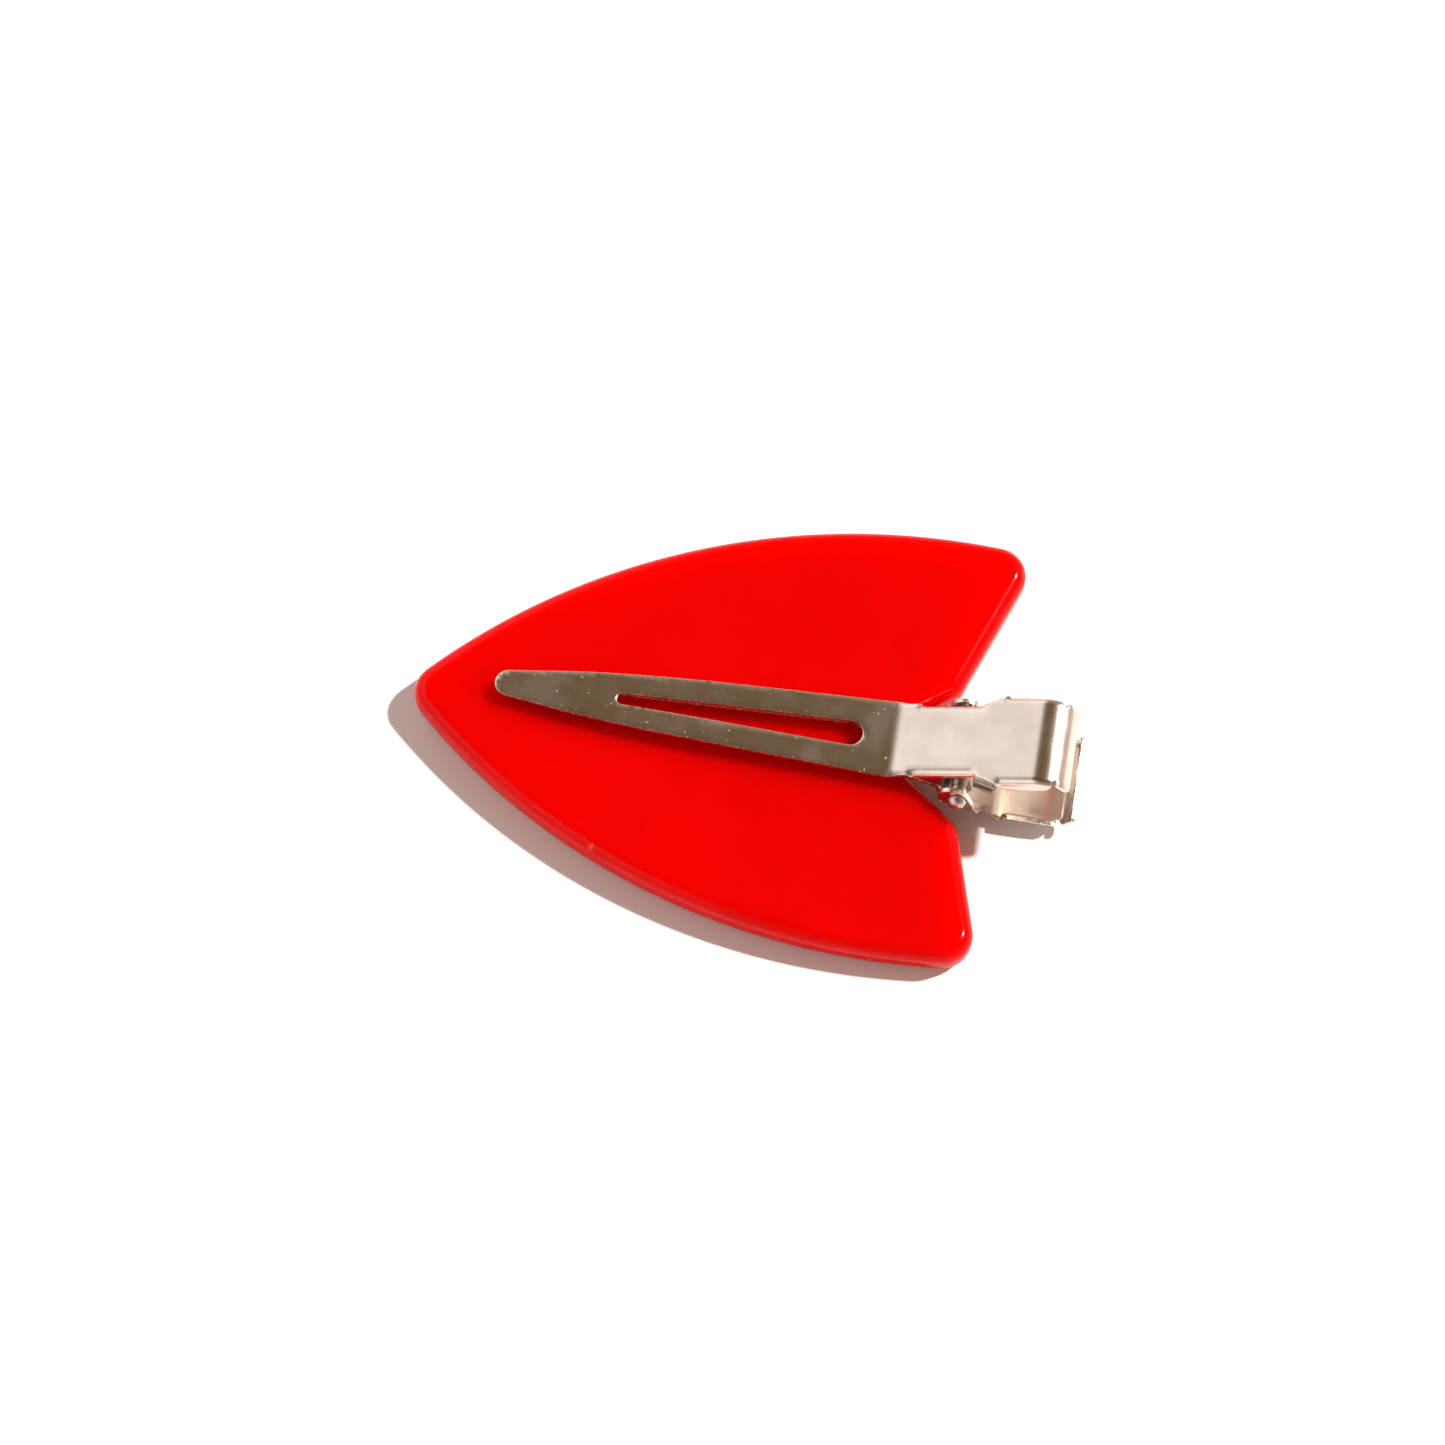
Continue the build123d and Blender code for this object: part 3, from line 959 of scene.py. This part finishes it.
def press_jaw(settings, shape, base, node, body):
    """Cuts and folds a jaw whose prong's middle lies at a height."""
    sheet, fold = settings.sheet / MM, settings.fold_radius / MM
    line, lip_x = jaw_line(shape, *BOX[node], base, sheet)
    strip = Strip(line, sheet, fold, shape.way, shape.seed)

    def at(place):
        return strip.along(TIP + place)

    def edge(before, places, after):
        """An edge from points counted from an ear's end and from places."""
        return vectors([*before, *((at(x), y) for x, y in places), *after])

    ear_half, flange_half = (w - sheet / 2 - fold for w in (shape.ears, shape.wide))
    pin_flat, ear_flat = (
        strip.on_wall(PIN.x - shift, PIN.z, at(46), ear_half) for shift in (0.0, shape.ear_shift)
    )
    ear_from, ear_to = map(at, shape.ear_ends)
    fold_from = min(ear_from, ear_flat.x - shape.ear_radius) - shape.ear_margin
    flange_from, flange_to = at(shape.flange_from), strip.along(lip_x + shape.flange_stop)
    ear_room, flange_room = shape.ears + shape.flat_room, shape.wide + shape.flat_room
    strip.folds = [
        (fold_from, ear_to, ear_half, shape.ear_ease, ear_room),
        (flange_from, flange_to, flange_half, FLANGE_EASE, flange_room),
    ]
    strip.flare = (ear_to - 1.5, ear_to + 0.3, shape.flare)
    depth = strip.flat_y(flange_half, FLANGE_DEPTH - shape.way * sheet / 2)

    radius = shape.tip_radius
    angles = np.linspace(math.pi, math.pi * 0.54, shape.tip_points)
    half = [Vector((radius, 0)) + polar(angle, radius) for angle in angles]
    half += soften(edge([half[-1]], shape.prong, []), 3)
    half += soften(edge([], shape.neck, [(ear_from + s, y) for s, y in shape.ear_front]))
    half += ear_outline(ear_from, ear_to, shape.ears, ear_flat, shape.ear_radius)
    ear_back = [(ear_to + s, y) for s, y in shape.ear_back]
    half += soften(edge(ear_back, shape.waist, [(flange_from - 0.15, shape.wide)]))
    half += lever_outline(shape, flange_from, flange_to, flange_half, depth, strip.length)

    holes = [tapered_hole([(at(x), r + shape.slot_room) for x, r in SLOT])]
    for side in (1, -1):
        holes.append(circle(Vector((pin_flat.x, side * pin_flat.y)), shape.pin_hole, 40))
    fine = [(at(x) - reach, at(x) + reach, step) for x, reach, step in shape.creases]
    fine.append((ear_from - 1.0, ear_to + 1.0, EAR_STEP))
    before, after, step = shape.lip_crease
    fine.append((strip.along(lip_x) - before, strip.along(lip_x) + after, step))
    bm = sheet_piece(strip, mirrored(half), holes, settings.burr / MM, fine)
    steel = bpy.data.materials.get("nickel_plate") or steel_material(
        "nickel_plate", settings.colour, settings.roughness, 0.8, 0.42
    )
    mesh_object(node + "_steel", bm, body, node, steel, math.radians(32))


class HAIRCLIP_OT_upper_jaw(Operator):
    """Makes the upper jaw: slotted prong, ears, finger lever, side flanges and lip"""

    bl_idname = "hairclip.upper_jaw"
    bl_label = "Upper jaw"

    def execute(self, context):
        settings = context.scene.hairclip_jaws
        base = PLATE_TOP + ROOM_FOR_GLUE + CLOSED_GAP + settings.sheet / MM * 1.5
        press_jaw(settings, UPPER, base, "upper_jaw", "upper_side")
        return {"FINISHED"}


class HAIRCLIP_OT_lower_jaw(Operator):
    """Makes the lower jaw: narrower prong, outer ears, down-turned lever and lip"""

    bl_idname = "hairclip.lower_jaw"
    bl_label = "Lower jaw"

    def execute(self, context):
        settings = context.scene.hairclip_jaws
        base = PLATE_TOP + ROOM_FOR_GLUE + settings.sheet / MM / 2
        press_jaw(settings, LOWER, base, "lower_jaw", "plate_side")
        return {"FINISHED"}


class HAIRCLIP_OT_glue_bed(Operator):
    """Makes the film of clear glue between the lower jaw and the plate"""

    bl_idname = "hairclip.glue_bed"
    bl_label = "Glue bed"

    def execute(self, context):
        low, high = BOX["glue_bed"]
        edge = vectors([(low.x, 0), (low.x, 0.6), (TIP + 12.7, 1.95), (high.x, 3.05), (high.x, 0)])
        outline = anticlockwise(spread_evenly(mirrored(soften(edge, 2)), 0.35))
        swells = [ripple(p.x / 1.7, p.y / 1.7, 4.0) for p in outline]
        wavy = inset(outline, [0.08 - 0.08 * swell for swell in swells])
        slot = tapered_hole([(TIP + x, r + 0.3) for x, r in SLOT])
        hole = anticlockwise(spread_evenly(slot, 0.3))
        grid = [
            Vector((low.x + 0.8 * i, -3 + 0.6 * k + 0.3 * (i % 2)))
            for i in range(48) for k in range(11)
        ]
        soft_edge = 0.07
        loops = [inset(wavy, soft_edge), inset(hole, -soft_edge)]
        verts, faces, rings = fill_flat(loops, grid, 0.2)

        def level(points, z):
            return [(p.x, p.y, z) for p in points]

        bm = bmesh.new()
        above, below = skins(bm, level(verts, high.z), level(verts, low.z), faces)
        for loop, ring in zip((wavy, hole), rings):
            middle = new_verts(bm, level(loop, (low.z + high.z) / 2))
            wall(bm, [[above[i] for i in ring], middle, [below[i] for i in ring]])
        mesh_object(
            "glue_bed_film", bm, "plate_side", "glue_bed", glue_material(), None
        )
        return {"FINISHED"}


# ---------------------------------------------------------------- hinge


# How far the pin's far end stands out, as a share of its near end.
FAR_END_SHARE = 0.35
PIN_SIDES, WIRE_SIDES = 40, 14


class HAIRCLIP_OT_hinge_pin(Operator):
    """Makes the hinge pin with its peened ends"""

    bl_idname = "hairclip.hinge_pin"
    bl_label = "Hinge pin"

    def execute(self, context):
        radius = context.scene.hairclip_spring.pin / MM / 2
        low, high = BOX["hinge_pin"]
        reach = high.y
        head = (high.x - low.x) / 2
        shoulder = BOX["lower_jaw"][1].y
        profile = [
            (0.0, -reach + 0.02), (0.28, -reach), (0.55, -reach + 0.07), (0.78, -reach + 0.27),
            (head, -reach + 0.52), (head - 0.03, -reach + 0.75),
            (radius + 0.06, -shoulder - 0.03), (radius, -shoulder + 0.04),
        ]
        profile += [(radius, -y) for y in (4.4, 3.5, 2.6, 1.8, 0.9, 0.0)]
        for r, y in reversed(profile[:-1]):
            beyond = max(-y - shoulder, 0.0)
            profile.append((r, min(-y, shoulder) + beyond * FAR_END_SHARE))
        bm = bmesh.new()
        rings = []
        for r, y in profile[1:-1]:
            hammered = 0.07 if abs(y) > shoulder - 0.1 else 0.0
            ring = []
            for i in range(PIN_SIDES):
                out = polar(2 * math.pi * i / PIN_SIDES)
                rough = hammered * ripple(out.x * 1.4, y * 2.2, out.y * 1.4)
                out *= min(r * (1 + rough), head)
                ring.append(bm.verts.new((PIN.x + out.x, y, PIN.z + out.y)))
            rings.append(ring)
        wall(bm, rings)
        for ring, (_, y) in ((rings[0], profile[0]), (rings[-1], profile[-1])):
            tip = bm.verts.new((PIN.x + 0.05, y, PIN.z - 0.04))
            for a, b in zip(ring, ring[1:] + ring[:1]):
                bm.faces.new((a, b, tip))
        # The pin's plating is painted darker than the jaws' as painted shade for the dark gap
        # between the flanges and the ears.
        steel = steel_material("pin_steel", (0.55, 0.51, 0.47), 0.3, 1.0, 0.4, 6.0)
        mesh_object("hinge_pin_steel", bm, "plate_side", "hinge_pin", steel)
        return {"FINISHED"}


# The directions of the spring's two legs, along the levers, and its pitch.
UPPER_LEG, LOWER_LEG, COIL_PITCH = math.radians(25.5), math.radians(-22.9), 0.56


class HAIRCLIP_OT_return_spring(Operator):
    """Makes the return spring, with a leg along each lever"""

    bl_idname = "hairclip.return_spring"
    bl_label = "Return spring"

    def execute(self, context):
        settings = context.scene.hairclip_spring
        wire, coil = settings.wire / MM / 2, settings.coil / MM / 2
        leg = settings.leg / MM
        sweep = settings.turns * 2 * math.pi + math.pi - UPPER_LEG + LOWER_LEG
        half = COIL_PITCH * sweep / (2 * math.pi) / 2

        def on_coil(turn):
            out = polar(LOWER_LEG - QUARTER - turn, coil)
            y = COIL_PITCH * turn / (2 * math.pi) - half
            return Vector((PIN.x + out.x, y, PIN.z + out.y))

        count = 36 * settings.turns + 15
        path = [on_coil(sweep * i / count) for i in range(count + 1)]
        first = (path[0] - on_coil(0.01)).normalized()
        last = (path[-1] - on_coil(sweep - 0.01)).normalized()
        head = [path[0] + first * leg * (1 - i / 10) for i in range(10)]
        tail = [path[-1] + last * leg * (i + 1) / 10 for i in range(10)]
        path = head + path + tail
        bm = bmesh.new()
        rings = []
        side = Vector((0, 1, 0))
        for i, point in enumerate(path):
            along = path[min(i + 1, len(path) - 1)] - path[max(i - 1, 0)]
            along.normalize()
            side = (side - along * side.dot(along)).normalized()
            other = along.cross(side)
            radius = wire * (0.86 if i in (0, len(path) - 1) else 1.0)
            ring = []
            for k in range(WIRE_SIDES):
                out = polar(2 * math.pi * k / WIRE_SIDES, radius)
                ring.append(bm.verts.new(point + side * out.x + other * out.y))
            rings.append(ring)
        wall(bm, rings)
        bm.faces.new(rings[0])
        bm.faces.new(rings[-1])
        steel = steel_material("spring_wire", (0.56, 0.54, 0.52), 0.24, 0.7, 0.2, 4.0)
        piece = mesh_object(
            "return_spring_wire", bm, None, "return_spring", steel
        )
        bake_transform(piece)
        return {"FINISHED"}


# ---------------------------------------------------------------- stage


# How far the camera aims from the middle of the clip, in metres.
AIM_OFFSET = (-0.002732, 0.000408)
FLOOR_REACH, FLOOR_GAP = 1.6, 0.00002
# The soft light's colours by height, towards the bright window and the rest of the room.
WINDOW = (
    (0.0, (0.70, 0.60, 0.58)), (0.12, (0.85, 0.76, 0.74)), (0.45, (1.42, 1.36, 1.34)),
    (0.70, (1.38, 1.32, 1.32)), (0.84, (0.17, 0.11, 0.05)), (1.0, (0.13, 0.08, 0.035)),
)
ROOM = (
    (0.0, (0.85, 0.68, 0.65)), (0.06, (0.8, 0.6, 0.56)), (0.3, (0.54, 0.36, 0.32)),
    (0.72, (0.34, 0.24, 0.15)), (0.86, (0.16, 0.10, 0.045)), (1.0, (0.13, 0.08, 0.035)),
)


def towards(bearing, height):
    """The direction at a bearing from +X towards +Y and a height above the floor."""
    across = polar(bearing, math.cos(height))
    return Vector((across.x, across.y, math.sin(height)))


def stand(data, name, location, facing):
    """Puts a light or a camera at a place, with its back to a direction."""
    thing = bpy.data.objects.new(name, data)
    thing.location = location
    thing.rotation_euler = facing.to_track_quat("Z", "Y").to_euler()
    bpy.context.scene.collection.objects.link(thing)
    return thing


def make_floor(height, colour):
    bm = bmesh.new()
    bmesh.ops.create_grid(bm, x_segments=8, y_segments=8, size=FLOOR_REACH)
    for vert in bm.verts:
        vert.co.z = height - FLOOR_GAP
    mesh = bpy.data.meshes.new("floor")
    bm.to_mesh(mesh)
    bm.free()
    floor = bpy.data.objects.new("floor", mesh)
    bpy.context.scene.collection.objects.link(floor)
    material, tree, shader, position = new_material("pale_floor")
    tone = clouds(tree, position, 30.0)
    base = mix_colour(tree, tone, tuple(colour), shade(colour, 0.99))
    feed(shader, Base_Color=base, Roughness=0.7)
    mesh.materials.append(material)


def make_soft_light(strength):
    """Lights the scene softly from all sides, brighter from the window's side."""
    world = bpy.data.worlds.new("soft_room")
    bpy.context.scene.world = world
    world.use_nodes = True
    tree = world.node_tree
    tree.nodes.clear()
    direction = put(tree, "ShaderNodeTexCoord").outputs["Generated"]
    axes = put(tree, "ShaderNodeSeparateXYZ", Vector=direction).outputs
    side = ramp(tree, maths(tree, "MULTIPLY", axes["X"], -1.0), 0.15, 0.5)
    room, window = (sky_ramp(tree, axes["Z"], *stops) for stops in (ROOM, WINDOW))
    shades = mix_colour(tree, side, room, window)
    background = put(tree, "ShaderNodeBackground", Strength=strength, Color=shades)
    put(tree, "ShaderNodeOutputWorld", Surface=background.outputs[0])


class HAIRCLIP_OT_stage(Operator):
    """Sets the floor, the sun, the soft light and the camera"""

    bl_idname = "hairclip.stage"
    bl_label = "Stage"

    def execute(self, context):
        scene = context.scene
        settings = scene.hairclip_stage
        low, high = (Vector(corner) for corner in CAD_BOX)
        make_floor(low.z, settings.floor_colour)
        make_soft_light(settings.sky_strength)

        sun = bpy.data.lights.new("sun", "SUN")
        sun.energy = settings.sun_strength
        sun.angle = settings.sun_width
        sun.color = (1.0, 0.985, 0.96)
        facing = towards(settings.sun_bearing, settings.sun_height)
        stand(sun, "sun", facing, facing)

        camera = bpy.data.cameras.new("camera")
        camera.sensor_fit = "HORIZONTAL"
        camera.angle = settings.view_angle
        camera.clip_start = 0.01
        camera.clip_end = 20.0
        middle = (low + high) / 2
        aim = Vector((middle.x + AIM_OFFSET[0], middle.y + AIM_OFFSET[1], low.z))
        facing = towards(settings.camera_bearing - QUARTER, settings.camera_height)
        place = aim + facing * settings.camera_distance
        scene.camera = stand(camera, "camera", place, facing)
        scene.view_settings.view_transform = "Standard"
        return {"FINISHED"}


# ---------------------------------------------------------------- panel


OPERATORS = (
    HAIRCLIP_OT_stage,
    HAIRCLIP_OT_petal_plate,
    HAIRCLIP_OT_glue_bed,
    HAIRCLIP_OT_lower_jaw,
    HAIRCLIP_OT_upper_jaw,
    HAIRCLIP_OT_hinge_pin,
    HAIRCLIP_OT_return_spring,
)
SETTINGS = {
    "hairclip_plate": PlateSettings,
    "hairclip_jaws": JawSettings,
    "hairclip_spring": SpringSettings,
    "hairclip_stage": StageSettings,
}


class HAIRCLIP_PT_panel(Panel):
    """Lists the clip's settings and pieces"""

    bl_label = "Hair clip"
    bl_idname = "HAIRCLIP_PT_panel"
    bl_space_type = "VIEW_3D"
    bl_region_type = "UI"
    bl_category = "Hair clip"

    def draw(self, context):
        for name, group in SETTINGS.items():
            box = self.layout.box()
            box.label(text=group.__doc__)
            settings = getattr(context.scene, name)
            for prop in group.__annotations__:
                box.prop(settings, prop)
        for operator in OPERATORS:
            self.layout.operator(operator.bl_idname)


def register():
    for group in SETTINGS.values():
        bpy.utils.register_class(group)
    for name, group in SETTINGS.items():
        setattr(bpy.types.Scene, name, PointerProperty(type=group))
    for operator in OPERATORS:
        bpy.utils.register_class(operator)
    bpy.utils.register_class(HAIRCLIP_PT_panel)


def unregister():
    bpy.utils.unregister_class(HAIRCLIP_PT_panel)
    for operator in reversed(OPERATORS):
        bpy.utils.unregister_class(operator)
    for name, group in reversed(SETTINGS.items()):
        delattr(bpy.types.Scene, name)
        bpy.utils.unregister_class(group)


def main():
    """Registers the add-on and makes every piece."""
    register()
    bpy.ops.hairclip.stage()
    bpy.ops.hairclip.petal_plate()
    bpy.ops.hairclip.glue_bed()
    bpy.ops.hairclip.lower_jaw()
    bpy.ops.hairclip.upper_jaw()
    bpy.ops.hairclip.hinge_pin()
    bpy.ops.hairclip.return_spring()


if __name__ == "__main__":
    main()
